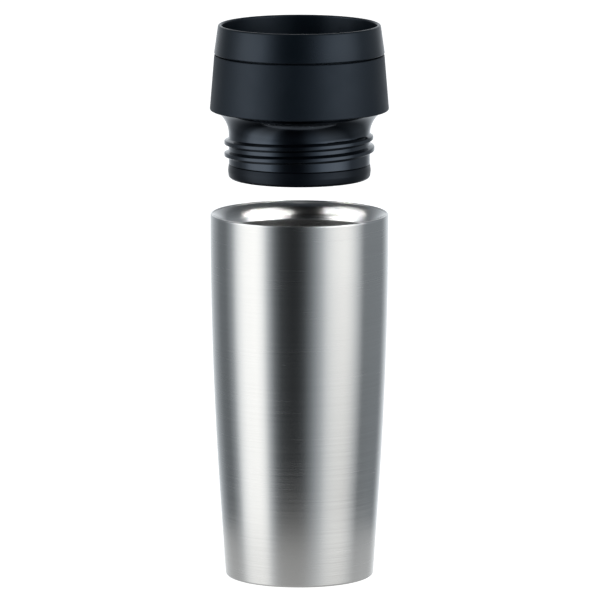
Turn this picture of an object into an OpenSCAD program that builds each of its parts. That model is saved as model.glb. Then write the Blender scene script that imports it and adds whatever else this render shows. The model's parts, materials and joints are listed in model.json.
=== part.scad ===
// Insulated travel mug with a screw lid and a press-to-open drinking valve.
// The mug stands on z = 0 with its axis on Z. The lid is shown unscrewed and lifted straight up.
// Lid parts are drawn in the lid's own frame, whose z = 0 is the lower edge of the grip collar.

/* [Mug] */
// Height of the drinking vessel's rim above the table
body_h = 178; // [140:1:230]
// Outer diameter of the vessel at its rim
rim_d = 86; // [76:0.5:104]
// Outer diameter of the vessel at its foot
foot_d = 71.6; // [60:0.2:86]
// Height of the straight lower flank, below the long curve of the side
flank_h = 40; // [20:1:60]
// Thickness of the sheet steel
sheet = 0.5; // [0.4:0.05:0.7]
// Width of the evacuated space between the two walls
vacuum_gap = 3.3; // [2:0.1:4.5]
// Thickness of the rolled lip
lip_t = 1; // [0.8:0.1:1.4]
// Depth of the trumpet-shaped mouth
funnel_depth = 10; // [5:0.5:10]
// Height of the inner floor above the table
floor_h = 8; // [7:0.5:14]
// Height of the steel foot edge above the table
foot_clear = 0.5; // [0.3:0.1:1]

/* [Lid] */
// Height of the lifted lid's lower edge above the rim
lid_raise = 50.5; // [40:0.5:90]
// Gap left between the rim and the collar of a closed lid
seat_gap = 0.5; // [0.3:0.1:1]
// Height of the lid above its lower edge
lid_h = 41.4; // [38:0.2:56]
// Height of the grip collar
collar_h = 26.8; // [22:0.2:32]
// Width by which the collar stands out past the rim
collar_proud = 0.2; // [0:0.05:0.4]
// Inward lean of the collar's side over its height
collar_lean = 2.1; // [1:0.1:3]
// Inward lean of the drinking ring's side over its height
ring_lean = 1.8; // [1:0.1:3]
// Thickness of the drinking lip
drink_lip = 1.9; // [1.6:0.1:2.4]
// Wall thickness of the collar
collar_t = 1.8; // [1.4:0.1:2.2]
// Depth of the drinking bowl below the lip
bowl_depth = 21; // [17:0.5:25]

/* [Neck] */
// Difference between the rim's radius and the neck's
neck_inset = 8.9; // [8:0.1:10]
// Length of the neck below the lid's lower edge
neck_l = 32.2; // [29:0.5:38]
// Wall thickness of the neck
neck_t = 3.2; // [2.8:0.1:3.6]
// Height of the neck's trumpet-shaped flare
flare_h = 12; // [11:0.5:13]
// Radius of the flare's hollow curve
flare_r = 14; // [13.6:0.1:18]
// Height of the sealing gasket's band
gasket_h = 6.2; // [4.5:0.1:7]
// How far the gasket stands out past the neck
gasket_proud = 0.4; // [0.2:0.05:0.6]

/* [Thread] */
// Rise of the screw thread in one turn
pitch = 5.8; // [5.2:0.1:7.5]
// Turns of thread on the lid
lid_turns = 1.65; // [1:0.05:1.9]
// Turns of thread in the mouth
mouth_turns = 1.75; // [1:0.05:1.9]
// Height of a thread ridge
ridge_h = 2.2; // [1.6:0.05:2.5]
// Width of a thread ridge at its root
ridge_w = 3.8; // [3:0.1:4.2]
// Direction in which the lid's thread begins, as seen from above
thread_start = 140; // [0:5:355]
// Bare wall between the gasket and the lid's thread
thread_gap = 2; // [0.8:0.1:3]
// Free radial space between the two threads
thread_play = 0.4; // [0.3:0.05:0.6]

/* [Valve] */
// Diameter of the press button
button_d = 50; // [42:0.5:56]
// Depth of the button's top below the drinking lip
button_drop = 13.8; // [11:0.2:16]
// Stroke of the button
travel = 5; // [3:0.1:6]
// Width of the drinking slot round the button
slot_w = 2.5; // [2:0.1:3]
// Diameter of the valve stem
stem_d = 6; // [5:0.1:7]
// Diameter of the guide tube's bore
guide_bore = 17.8; // [16:0.1:20]
// Radial space between the stem and its bearing
stem_play = 0.1; // [0.05:0.01:0.1]
// Wire diameter of the return spring
wire_d = 0.9; // [0.7:0.05:1.1]
// Working coils of the return spring
coils = 5; // [4:1:6]
// Teeth of the latch
latch_teeth = 8; // [6:1:10]

/* [Hidden] */
$fn = 96;

steel = "#B9BBBC";
black = "#1B1E22";
soft_black = "#202225";
// Free space between pieces that move past each other
running = 0.3;
// Steps of a helix in one turn
helix_steps = 60;

// Mug
rim_r = rim_d / 2;
foot_r = foot_d / 2;
foot_round = 1.2;
foot_curl = 3;
// Side curve: vertical at the rim, then one long arc down to the straight flank, tangent at both ends
curve_top = body_h - 3;
curve_h = curve_top - flank_h;
side_slope = (rim_r - foot_r) / (flank_h - foot_clear + curve_h / 2);
bend_w = curve_h * side_slope;
arc_r = (curve_h * curve_h / 4 + bend_w * bend_w / 16) / (bend_w / 4);
function curve_drop(z) = arc_r - sqrt(arc_r * arc_r - (curve_top - z) * (curve_top - z));
flank_r = foot_r + side_slope * (flank_h - foot_clear);
curve_scale = (rim_r - flank_r) / curve_drop(flank_h);
function side_r(z) = z >= curve_top ? rim_r
    : z >= flank_h ? rim_r - curve_scale * curve_drop(z)
    : foot_r + side_slope * (z - foot_clear);
function steps(from, to, n) = [for (i = [0:n]) from + (to - from) * i / n];

// Neck and threads, radii
neck_r = rim_r - neck_inset;
crest_r = neck_r + ridge_h;
mouth_r = crest_r + thread_play;
gasket_r = neck_r + gasket_proud;
seat_r = gasket_r + running;
ledge_r = neck_r - 1.4;
neck_bore_r = neck_r - neck_t;
flare_top_r = neck_r + flare_r - sqrt(flare_r * flare_r - flare_h * flare_h);

// Heights in the mouth, in the lid's frame when the lid is closed, and that frame's height in the mug
closed_z = body_h + seat_gap;
lid_z = body_h + lid_raise;
gasket_foot = 1;
ledge_z = -neck_l - gasket_foot - running;
seat_top = -neck_l + gasket_h - 2;
mouth_end_z = closed_z + ledge_z - 1.5;
lid_travel = lid_raise - seat_gap;

// Vessel
liner_gap = sheet + vacuum_gap;
shoulder_z = mouth_end_z - 9;
liner_corner = 7;
plate_z = foot_clear + sheet;

// Lid
collar_r = rim_r + collar_proud;
collar_top_r = collar_r - collar_lean;
seam = 0.4;
ring_z = collar_h + seam;
lip_r = collar_top_r - ring_lean;
bowl_z = lid_h - bowl_depth;
bowl_r = lip_r - drink_lip - 0.8;
spigot_r = collar_top_r - collar_t - 0.2;
flange_t = 2.2;
button_r = button_d / 2;
chimney_r = button_r + slot_w;
chimney_t = 2.2;
seat_flange_r = chimney_r - 1.5;
seat_flange_z = -9;
seat_flange_t = 2;
deck_z = seat_flange_z + seat_flange_t;
washer_t = 1;

// Valve and latch, heights in the lid's frame
button_z = lid_h - button_drop;
button_t = 2.2;
stem_r = stem_d / 2;
guide_r = guide_bore / 2;
guide_t = 1.1;
rib_in_r = guide_r - 1.3;
latch_r = rib_in_r - 0.4;
web_t = 2.5;
guide_top = button_z - button_t - travel - 0.6;
crown_z = guide_top - 3;
rotor_h = 3.8;
rotor_z = crown_z - running - rotor_h;
stem_collar_t = 1.8;
stem_collar_z = rotor_z - running - stem_collar_t;
tooth_h = 1.2;
spring_low = deck_z + web_t + 0.1;
spring_top = stem_collar_z - 0.1;
disc_t = 2.4;
disc_r = seat_flange_r + 1;
seal_r = disc_r + 2.4;
seal_top = seat_flange_z - running;
disc_z = seal_top - 1.5 - disc_t;
nut_t = 4;
press_play = 0.05;
boot_play = 0.12;

// ---------------------------------------------------------------- helpers

// A solid of revolution about Z from [radius, height] points
module turned(points) rotate_extrude() polygon(points);

// Points of an arc in an outline
function arc(cx, cy, r, a0, a1, n = 8) = [for (a = steps(a0, a1, n)) [cx + r * cos(a), cy + r * sin(a)]];

// Raises one ring of a helix: [radius, height] profile points turned to angle a
function ring(profile, a) = [for (p = profile) [p[0] * cos(a), p[0] * sin(a), p[1]]];

// Closed skin over rings that each have m points
function skin_faces(rings, m) = concat(
    [[for (j = [m - 1:-1:0]) j]],
    [for (i = [0:rings - 2]) for (j = [0:m - 1])
        [i * m + j, i * m + (j + 1) % m, (i + 1) * m + (j + 1) % m, (i + 1) * m + j]],
    [[for (j = [0:m - 1]) (rings - 1) * m + j]]
);

// A helical ridge on a round wall. root and crest are radii, so crest < root makes it point inwards.
// sunk is its depth in the wall, and z0 its height at direction a0. It fades in and out over fade degrees.
module ridge(root, crest, sunk, z0, a0, turns, fade = 35) {
    n = ceil(turns * helix_steps);
    side = crest > root ? 1 : -1;
    h = abs(crest - root);
    profiles = [for (i = [0:n])
        let (a = 360 * turns * i / n, z = z0 + pitch * a / 360,
             f = min(1, min(a, 360 * turns - a) / fade),
             top = h * (0.25 + 0.75 * f * (2 - f)), w = side * ridge_w / 2 * (0.5 + 0.5 * f))
        ring([[root - side * sunk, z - 1.15 * w],
              [root + side * top * 0.75, z - 0.5 * w],
              [root + side * top, z - 0.22 * w], [root + side * top, z + 0.22 * w],
              [root + side * top * 0.75, z + 0.5 * w],
              [root - side * sunk, z + 1.15 * w]], a0 + a)];
    polyhedron([for (p = profiles) each p], skin_faces(n + 1, 6), convexity = 6);
}

// A tube of round wire along a helix from z0 to z1
module coil(r, wire, z0, z1, turns, sides = 8, per_turn = 20) {
    n = turns * per_turn;
    rings = [for (i = [0:n])
        let (a = 360 * turns * i / n, z = z0 + wire / 2 + (z1 - z0 - wire) * i / n)
        ring([for (k = [0:sides - 1])
            [r + wire / 2 * cos(360 * k / sides), z + wire / 2 * sin(360 * k / sides)]], a)];
    polyhedron([for (p = rings) each p], skin_faces(n + 1, sides), convexity = 10);
}

// Teeth that stand on a ring between two radii: every second slice of a full turn
module teeth(inner, outer, z, h) {
    step = 360 / latch_teeth;
    for (i = [0:latch_teeth - 1])
        translate([0, 0, z]) rotate_extrude(angle = step / 2, start = i * step)
            translate([inner, 0]) square([outer - inner, h]);
}

// Everything of the lid is drawn in the lid's frame
module in_lid() translate([0, 0, lid_z]) children();

// ---------------------------------------------------------------- mug

// Brushed outer wall, with a curled foot edge
module outer_shell() {
    low = foot_clear + foot_round;
    outside = [for (z = concat([low], steps(low + 8, flank_h, 2), steps(flank_h + 8, curve_top, 14),
        [body_h - lip_t])) [side_r(z), z]];
    inside = [for (i = [len(outside) - 1:-1:0]) [outside[i][0] - sheet, outside[i][1]]];
    r0 = side_r(low) - foot_round;
    color(steel) turned(concat(
        arc(r0, low, foot_round, -90, -10, 6), outside, inside,
        arc(r0, low, foot_round - sheet, -10, -90, 6),
        [[r0 - foot_curl, foot_clear + sheet], [r0 - foot_curl, foot_clear]]));
}

// Rolled lip, trumpet mouth and threaded neck of the inner vessel
module mouth_ring() {
    lip_in = rim_r - lip_t;
    fall = funnel_depth - lip_t / 2;
    funnel_r = ((lip_in - mouth_r) * (lip_in - mouth_r) + fall * fall) / (2 * (lip_in - mouth_r));
    cx = mouth_r + funnel_r;
    cz = body_h - funnel_depth;
    top_a = 180 - asin(fall / funnel_r);
    neck_low = closed_z + seat_top;
    ledge = closed_z + ledge_z;
    cone = mouth_r - seat_r;
    start_z = closed_z - neck_l + gasket_h + ridge_w / 2 + 1;
    // The mouth's thread lies half a pitch off the path that the lid's thread follows
    path_z = lid_z - neck_l + gasket_h + ridge_w / 2 + thread_gap + pitch / 2;
    start_a = thread_start + 360 * (start_z - path_z) / pitch;
    color(steel) union() {
        turned(concat(
            [[rim_r, body_h - lip_t]],
            arc(rim_r - lip_t / 2, body_h - lip_t / 2, lip_t / 2, 0, 180, 10),
            arc(cx, cz, funnel_r, top_a, 180, 8),
            [[mouth_r, neck_low + cone], [seat_r, neck_low], [seat_r, ledge], [ledge_r, ledge],
             [ledge_r, mouth_end_z], [ledge_r + sheet, mouth_end_z], [ledge_r + sheet, ledge - sheet],
             [seat_r + sheet, ledge - sheet], [seat_r + sheet, neck_low - sheet],
             [mouth_r + sheet, neck_low + cone - sheet]],
            arc(cx, cz, funnel_r - sheet, 180, top_a, 8),
            [[rim_r - sheet, body_h - lip_t]]));
        ridge(mouth_r, mouth_r - ridge_h + running, sheet * 0.6, start_z, start_a, mouth_turns);
    }
}

// Inner vessel, welded to the mouth ring
module inner_liner() {
    low = floor_h + liner_corner;
    shoulder_r = side_r(shoulder_z) - liner_gap;
    side = [for (z = concat([low], steps(low + 8, shoulder_z, 9))) [side_r(z) - liner_gap, z]];
    corner_r = side[0][0] - liner_corner;
    bend = (mouth_end_z - shoulder_z) / 2;
    outside = concat(
        [[0, floor_h]], arc(corner_r, low, liner_corner, -90, 0, 6), side,
        arc(shoulder_r - bend, shoulder_z, bend, 8, 48, 5),
        [[ledge_r + sheet, mouth_end_z - 1.5], [ledge_r + sheet, mouth_end_z]]);
    inside = concat(
        [[ledge_r, mouth_end_z], [ledge_r, mouth_end_z - 1.8]],
        arc(shoulder_r - bend, shoulder_z, bend - sheet, 48, 8, 5),
        [for (i = [len(side) - 1:-1:0]) [side[i][0] - sheet, side[i][1]]],
        arc(corner_r, low, liner_corner - sheet, 0, -90, 6), [[0, floor_h + sheet]]);
    color(steel) turned(concat(outside, inside));
}

// Pressed plate that closes the vacuum space, with an evacuation hole in a dimple
evac_r = 1;
dimple_r = 6;
dimple_h = 1;
plate_r = side_r(foot_clear + foot_round) - foot_round;
module base_plate() {
    color(steel) difference() {
        turned([[0, plate_z + dimple_h], [dimple_r, plate_z + dimple_h], [dimple_r + 1.5, plate_z],
            [plate_r, plate_z], [plate_r, plate_z + sheet], [dimple_r + 1.5, plate_z + sheet],
            [dimple_r, plate_z + dimple_h + sheet], [0, plate_z + dimple_h + sheet]]);
        translate([0, 0, plate_z]) cylinder(r = evac_r, h = 4 * dimple_h);
    }
}

// Glass bead that seals the evacuation hole
bead_r = 2.5;
module sealing_bead()
    color("#5A5048") translate([0, 0, plate_z + dimple_h]) mirror([0, 0, 1])
        union() {
            cylinder(r1 = bead_r, r2 = bead_r - 0.8, h = dimple_h * 0.8);
            translate([0, 0, -sheet - 0.2]) cylinder(r = evac_r - 0.02, h = sheet + 0.3);
        }

// Spring-steel clip that holds the getter pill on the plate, in the vacuum
getter_r = 5;
getter_h = 2.2;
getter_x = 18;
module getter_clip()
    color(steel) translate([getter_x, 0, plate_z + sheet]) turned([
        [0, 0], [getter_r + 0.9, 0], [getter_r + 0.9, getter_h], [getter_r + 0.5, getter_h],
        [getter_r + 0.5, 0.4], [0, 0.4]]);

// Gas-absorbing pill
module getter()
    color("#4A4A4C") translate([getter_x, 0, plate_z + sheet + 0.4]) cylinder(r = getter_r, h = getter_h);

// Thin disc that covers the bead from below
cover_r = side_r(foot_clear + foot_round) - foot_round - foot_curl - 0.2;
cover_t = 0.4;
module base_cover()
    color(steel) translate([0, 0, plate_z - cover_t]) cylinder(r = cover_r, h = cover_t);

// Non-slip silicone ring under the mug
pad_w = 7;
pad_r = cover_r - 1.5;
module foot_pad()
    color(soft_black) turned([[pad_r - pad_w, 0], [pad_r - 0.3, 0], [pad_r, 0.3], [pad_r, plate_z - cover_t],
        [pad_r - pad_w, plate_z - cover_t]]);

// ---------------------------------------------------------------- lid

// Drinking lip, bowl and central chimney, one moulding
module drink_ring() {
    round_r = drink_lip / 2;
    foot = deck_z + washer_t;
    wall_low_r = bowl_r - 0.6;
    color(black) in_lid() turned(concat(
        [[spigot_r, ring_z]],
        arc(collar_top_r - 0.8, ring_z + 0.8, 0.8, -90, -6, 5),
        arc(lip_r - round_r, lid_h - round_r, round_r, 6, 180, 10),
        arc(wall_low_r - 4, bowl_z + 4, 4, 0, -80, 8), arc(chimney_r + 1.2, bowl_z - 1.8, 1.2, 80, 180, 5),
        [[chimney_r, foot], [chimney_r + chimney_t, foot], [chimney_r + chimney_t, bowl_z - 4],
         [wall_low_r - 2, bowl_z - 3], [spigot_r - 0.8, bowl_z - 1.6], [spigot_r, bowl_z]]));
}

// Matt grip collar, held between the neck's flange and the drinking ring
module grip_collar() {
    ledge_low = flange_t + 0.1;
    lean = collar_lean / collar_h;
    inner_low = flare_top_r + 0.1;
    color(soft_black) in_lid() turned(concat(
        [[inner_low, 0.3], [inner_low + 0.3, 0]],
        arc(collar_r - 0.8, 0.8, 0.8, -90, -4, 5),
        arc(collar_top_r - 0.6, collar_h - 0.6, 0.6, 4, 90, 5),
        [[spigot_r + 0.15, collar_h], [spigot_r + 0.15, bowl_z - 1],
         [collar_r - collar_t - lean * 12 - 0.4, bowl_z - 4], [collar_r - collar_t - lean * 5, ledge_low + 3],
         [inner_low - 1.6, ledge_low + 1.4], [inner_low - 1.6, ledge_low], [inner_low, ledge_low]]));
}

// Screw neck with its flare, flange and valve seat
module threaded_neck() {
    cx = neck_r + flare_r;
    top_a = 180 - asin(flare_h / flare_r);
    back_r = flare_r + 2;
    back_a = 180 - asin((flare_h + 0.6) / back_r);
    groove_r = neck_r - 1.7;
    back_low = flare_h + deck_z;
    color(black) in_lid() union() {
        turned(concat(
            [[neck_bore_r, -neck_l], [groove_r, -neck_l], [groove_r, -neck_l + gasket_h],
             [neck_r, -neck_l + gasket_h]],
            arc(cx, -flare_h, flare_r, 180, top_a, 12),
            [[flare_top_r, flange_t], [flare_top_r - 2.4, flange_t]],
            arc(cx, -flare_h, back_r, back_a, 180 - asin(back_low / back_r), 6),
            [[seat_flange_r, deck_z], [seat_flange_r, seat_flange_z], [neck_bore_r, seat_flange_z]]));
        ridge(neck_r, crest_r, 0.9, -neck_l + gasket_h + ridge_w / 2 + thread_gap, thread_start, lid_turns);
    }
}

// Silicone boot that wraps the neck's end
module neck_gasket() {
    groove_r = neck_r - 1.7 + boot_play;
    low = -neck_l - gasket_foot;
    top = -neck_l + gasket_h - boot_play;
    foot_in = neck_bore_r + 0.4;
    belly = low + 0.55 * (top - low);
    color(soft_black) in_lid() turned(concat(
        [[foot_in, low], [gasket_r - 2.2, low]],
        arc(gasket_r - 2.2, low + 2, 2, -80, -15, 6),
        [[gasket_r, belly], [gasket_r - 0.1, belly + 1], [neck_r, top - 0.3], [neck_r - 0.4, top],
         [groove_r, top], [groove_r, -neck_l - boot_play], [foot_in, -neck_l - boot_play]]));
}

// Flat washer under the chimney, which keeps the drink out of the collar
module bowl_seal()
    color(soft_black) in_lid() translate([0, 0, deck_z]) difference() {
        cylinder(r = chimney_r + chimney_t, h = washer_t);
        translate([0, 0, -1]) cylinder(r = chimney_r, h = washer_t + 2);
    }

// Fixed guide tube on three spokes
spokes = 3;
spoke_w = 2.6;
rib_deg = 12;
module guide_spider() {
    bearing_r = stem_r + stem_play;
    floor_z = deck_z + web_t;
    ring_out = chimney_r - 0.2;
    ring_in = seat_flange_r - 1.4;
    rib_low = rotor_z - travel - 1;
    spoke_in = guide_r + guide_t / 2;
    color(black) in_lid() union() {
        turned([[bearing_r, deck_z], [guide_r + guide_t, deck_z], [guide_r + guide_t, guide_top],
            [guide_r, guide_top], [guide_r, floor_z], [bearing_r, floor_z]]);
        turned([[ring_in, deck_z], [ring_out, deck_z], [ring_out, floor_z], [ring_in, floor_z]]);
        for (i = [0:spokes - 1]) rotate([0, 0, 90 + i * 360 / spokes])
            translate([spoke_in, -spoke_w / 2, deck_z + 0.2])
                cube([ring_in - spoke_in + 0.8, spoke_w, web_t - 0.6]);
        for (i = [0:3]) translate([0, 0, rib_low])
            rotate_extrude(angle = rib_deg, start = i * 90 - rib_deg / 2)
                translate([rib_in_r, 0])
                    square([guide_r - rib_in_r + guide_t / 2, guide_top - 0.4 - rib_low]);
    }
}

// Compression spring under the stem's collar
module return_spring()
    color("silver") in_lid() coil(stem_r + 2, wire_d, spring_low, spring_top, coils);

// Press button
module button_cap() {
    skirt_t = 1.8;
    low = button_z - 14;
    color(black) in_lid() turned(concat(
        [[stem_r + press_play, guide_top], [latch_r, guide_top], [latch_r, button_z - button_t],
         [button_r - skirt_t, button_z - button_t], [button_r - skirt_t, low], [button_r - 0.4, low]],
        arc(button_r - 1.2, button_z - 1.2, 1.2, 0, 90, 6),
        [[button_r - 4, button_z], [button_r - 5.5, button_z - 0.5], [0, button_z - 0.9],
         [0, button_z - button_t], [stem_r + press_play, button_z - button_t]]));
}

// Toothed crown pressed on the button's boss
module latch_crown()
    color("#3A3D40") in_lid() union() {
        turned([[stem_r + press_play, crown_z + tooth_h], [latch_r, crown_z + tooth_h],
            [latch_r, guide_top], [stem_r + press_play, guide_top]]);
        teeth(stem_r + 1, latch_r, crown_z, tooth_h);
    }

// Latch rotor, whose four splines run between the guide's ribs
spline_deg = 10;
spline_at = 10;
module latch_rotor()
    color("#C9CBC8") in_lid() union() {
        turned([[stem_r + 0.2, rotor_z], [latch_r, rotor_z], [latch_r, rotor_z + rotor_h - tooth_h],
            [stem_r + 0.2, rotor_z + rotor_h - tooth_h]]);
        teeth(stem_r + 1, latch_r, rotor_z + rotor_h - tooth_h, tooth_h);
        for (i = [0:3]) translate([0, 0, rotor_z])
            rotate_extrude(angle = spline_deg, start = i * 90 + rib_deg / 2 + spline_at - spline_deg / 2)
                translate([latch_r - 0.5, 0]) square([guide_r - running - latch_r + 0.5, rotor_h - tooth_h]);
    }

// Valve stem with the collar that the spring pushes on
module valve_stem()
    color("silver") in_lid() turned([
        [0, disc_z - nut_t + 0.5], [stem_r, disc_z - nut_t + 0.5], [stem_r, stem_collar_z],
        [latch_r - 0.6, stem_collar_z], [latch_r - 0.6, stem_collar_z + stem_collar_t],
        [stem_r, stem_collar_z + stem_collar_t], [stem_r, button_z - button_t], [0, button_z - button_t]]);

// Valve disc
module valve_disc()
    color(black) in_lid() turned([
        [stem_r + press_play, disc_z], [disc_r, disc_z], [disc_r, disc_z + disc_t],
        [stem_r + 5, disc_z + disc_t],
        [stem_r + 3, deck_z - seat_flange_t - 0.4], [stem_r + press_play, deck_z - seat_flange_t - 0.4]]);

// Silicone ring round the disc's edge
module valve_seal()
    color(soft_black) in_lid() turned([
        [disc_r - 2, disc_z - 0.9], [seal_r - 0.8, disc_z - 0.9], [seal_r, disc_z], [seal_r, disc_z + disc_t],
        [seal_r - 0.6, seal_top], [disc_r + 0.8, seal_top], [disc_r + 0.3, disc_z + disc_t + 0.9],
        [disc_r - 2, disc_z + disc_t + 0.9], [disc_r - 2, disc_z + disc_t + press_play],
        [disc_r + press_play, disc_z + disc_t + press_play], [disc_r + press_play, disc_z - press_play],
        [disc_r - 2, disc_z - press_play]]);

// Nut that holds the disc on the stem
module stem_nut()
    color("silver") in_lid() translate([0, 0, disc_z - nut_t]) difference() {
        cylinder(r = stem_r + 3.6, h = nut_t, $fn = 6);
        translate([0, 0, -1]) cylinder(r = stem_r + press_play, h = nut_t + 2);
    }

outer_shell();
mouth_ring();
inner_liner();
base_plate();
getter_clip();
getter();
sealing_bead();
base_cover();
foot_pad();
drink_ring();
grip_collar();
threaded_neck();
neck_gasket();
bowl_seal();
guide_spider();
return_spring();
button_cap();
latch_crown();
latch_rotor();
valve_stem();
valve_disc();
valve_seal();
stem_nut();
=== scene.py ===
"""Insulated travel mug with its screw lid lifted off: smooth pieces, finishes and studio."""

import json
import math
from types import SimpleNamespace

import bpy
import numpy as np
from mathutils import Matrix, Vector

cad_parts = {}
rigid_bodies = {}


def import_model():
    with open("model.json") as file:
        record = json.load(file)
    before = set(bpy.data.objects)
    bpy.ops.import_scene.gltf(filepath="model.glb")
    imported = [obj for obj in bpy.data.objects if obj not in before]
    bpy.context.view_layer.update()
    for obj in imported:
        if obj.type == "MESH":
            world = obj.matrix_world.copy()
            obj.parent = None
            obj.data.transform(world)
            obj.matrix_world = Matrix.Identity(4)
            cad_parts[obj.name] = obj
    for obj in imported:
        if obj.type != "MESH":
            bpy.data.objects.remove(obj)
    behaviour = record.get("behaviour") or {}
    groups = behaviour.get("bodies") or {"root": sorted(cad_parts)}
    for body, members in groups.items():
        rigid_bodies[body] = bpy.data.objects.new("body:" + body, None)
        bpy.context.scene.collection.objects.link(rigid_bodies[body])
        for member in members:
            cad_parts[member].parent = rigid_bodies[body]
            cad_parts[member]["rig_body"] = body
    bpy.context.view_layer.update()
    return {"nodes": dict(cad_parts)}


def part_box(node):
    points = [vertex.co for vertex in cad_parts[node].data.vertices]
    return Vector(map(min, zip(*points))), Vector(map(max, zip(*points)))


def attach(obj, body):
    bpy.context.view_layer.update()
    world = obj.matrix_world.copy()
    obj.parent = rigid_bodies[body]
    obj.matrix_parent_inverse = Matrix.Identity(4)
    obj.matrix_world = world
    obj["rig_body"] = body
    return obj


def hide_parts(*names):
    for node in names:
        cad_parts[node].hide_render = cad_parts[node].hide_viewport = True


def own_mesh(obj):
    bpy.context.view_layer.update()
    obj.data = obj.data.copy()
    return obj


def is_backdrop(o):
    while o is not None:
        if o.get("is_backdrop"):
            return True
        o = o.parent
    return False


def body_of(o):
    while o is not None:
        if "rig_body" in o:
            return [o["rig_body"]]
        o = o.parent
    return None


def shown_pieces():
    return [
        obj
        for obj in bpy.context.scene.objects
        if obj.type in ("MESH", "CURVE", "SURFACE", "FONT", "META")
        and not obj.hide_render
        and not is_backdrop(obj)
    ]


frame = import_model()

bl_info = {
    "name": "Travel mug",
    "version": (1, 0, 0),
    "blender": (4, 5, 0),
    "location": "View3D > Sidebar > Travel mug",
    "description": "Builds a brushed steel travel mug and its screw lid round a packed frame",
    "category": "Add Mesh",
}

MM = 0.001
TURN = 2 * math.pi
# Edges sharper than this stay hard, in degrees
SHARP = 38
# Upright band of the outer wall under the rim, in mm
RIM_BAND = 3
# Step between the outline's points along a threaded wall, in mm
THREAD_STEP = 0.16
# How far the ledge under the gasket reaches inside the neck's outer radius, in mm
SEAT_INSET = 1.4
# Gap between collar and rim when the lid is closed, in mm
CLOSED_GAP = 0.5
# Underside of the ledge that the valve closes on, in mm from the collar's lower edge
VALVE_LEDGE = -9
# Turns of the return spring, closed ends included
SPRING_TURNS = 7


# ---------------------------------------------------------------- values from the frame

def low(name, axis=2):
    """The lowest coordinate of a CAD node along an axis, in millimetres."""
    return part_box(name)[0][axis] / MM


def high(name, axis=2):
    """The highest coordinate of a CAD node along an axis, in millimetres."""
    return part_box(name)[1][axis] / MM


LID = low("grip_collar")


# ---------------------------------------------------------------- property helpers

def linear(code):
    """An sRGB hex colour as linear red, green, blue, and alpha 1."""
    parts = np.array([int(code[i:i + 2], 16) for i in (1, 3, 5)]) / 255
    curve = np.where(parts <= 0.04045, parts / 12.92, ((parts + 0.055) / 1.055) ** 2.4)
    return (*curve.tolist(), 1.0)


def length(name, description, millimetres):
    """A length property. Its default is given in millimetres and kept in metres."""
    return bpy.props.FloatProperty(
        name=name, description=description, default=millimetres * MM, unit="LENGTH", precision=5)


def angle(name, description, degrees):
    """An angle property. Its default is given in degrees."""
    return bpy.props.FloatProperty(
        name=name, description=description, default=math.radians(degrees), subtype="ANGLE")


def number(name, description, default):
    """A plain number property."""
    return bpy.props.FloatProperty(name=name, description=description, default=default, min=0)


def colour(name, description, code):
    """A colour property, with an sRGB hex default."""
    return bpy.props.FloatVectorProperty(
        name=name, description=description, default=linear(code), subtype="COLOR", size=4, min=0, max=1)


def millimetres(group):
    """The values of a property group, with its lengths in millimetres."""
    lengths = {p.identifier for p in group.bl_rna.properties if getattr(p, "unit", "") == "LENGTH"}
    values = {key: getattr(group, key) for key in group.__annotations__}
    return SimpleNamespace(**{key: value / MM if key in lengths else value for key, value in values.items()})


# ---------------------------------------------------------------- sizes and colours

class MugVesselSizes(bpy.types.PropertyGroup):
    """Sizes of the steel vessel"""
    rim_r: length("Rim radius", "Outer radius at the rim", high("outer_shell", 0))
    foot_r: length("Foot radius", "Outer radius at the foot", 35.8)
    height: length("Height", "Height of the rim above the table", high("mouth_ring"))
    flank_h: length("Flank height", "Height of the straight lower flank", 40)
    foot_clear: length("Foot clearance", "Height of the foot edge above the table", low("outer_shell"))
    sheet: length("Sheet", "Thickness of the sheet steel", 0.5)
    vacuum_gap: length("Vacuum gap", "Width of the evacuated space between the walls", 3.3)
    lip_t: length("Lip thickness", "Thickness of the rolled lip", 1)
    funnel_h: length("Mouth depth", "Depth of the trumpet mouth", 10)
    floor_h: length("Floor height", "Height of the inner floor above the table", low("inner_liner"))
    liner_corner: length("Floor corner", "Radius of the inner floor's corner", 7)
    mouth_end: length("Mouth ring end", "Height of the mouth ring's lower end", low("mouth_ring"))


class MugLidSizes(bpy.types.PropertyGroup):
    """Sizes of the lid, as heights above its lower edge"""
    collar_r: length("Collar radius", "Radius of the collar's lower edge", high("grip_collar", 0))
    collar_lean: length("Collar lean", "Inward lean of the collar's side", 2.1)
    collar_h: length("Collar height", "Height of the grip collar", high("grip_collar") - LID)
    collar_t: length("Collar wall", "Wall thickness of the collar", 1.8)
    ring_low: length("Ring edge", "Height of the drinking ring's lower edge", high("grip_collar") - LID + 0.4)
    ring_lean: length("Ring lean", "Inward lean of the ring's side", 1.8)
    top: length("Lid height", "Height of the drinking lip", high("drink_ring") - LID)
    lip_t: length("Lip", "Thickness of the drinking lip", 1.9)
    bowl_h: length("Bowl floor", "Height of the bowl's floor", 20.4)
    chimney_r: length("Chimney bore", "Radius of the opening round the button", 27.5)
    chimney_t: length("Chimney wall", "Wall thickness of the chimney", 2.2)
    neck_r: length("Neck radius", "Outer radius of the screw neck", high("neck_gasket", 0) - 0.4)
    neck_l: length("Neck length", "Length of the neck below the lid's lower edge", LID - low("threaded_neck"))
    neck_t: length("Neck wall", "Wall thickness of the neck", 3.2)
    flare_h: length("Flare height", "Height of the neck's flare", 12)
    flare_r: length("Flare radius", "Radius of the flare's hollow curve", 14)
    gasket_h: length("Gasket height", "Height of the gasket's band", 6.2)
    gasket_r: length("Gasket radius", "Greatest radius of the gasket", high("neck_gasket", 0))


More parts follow.
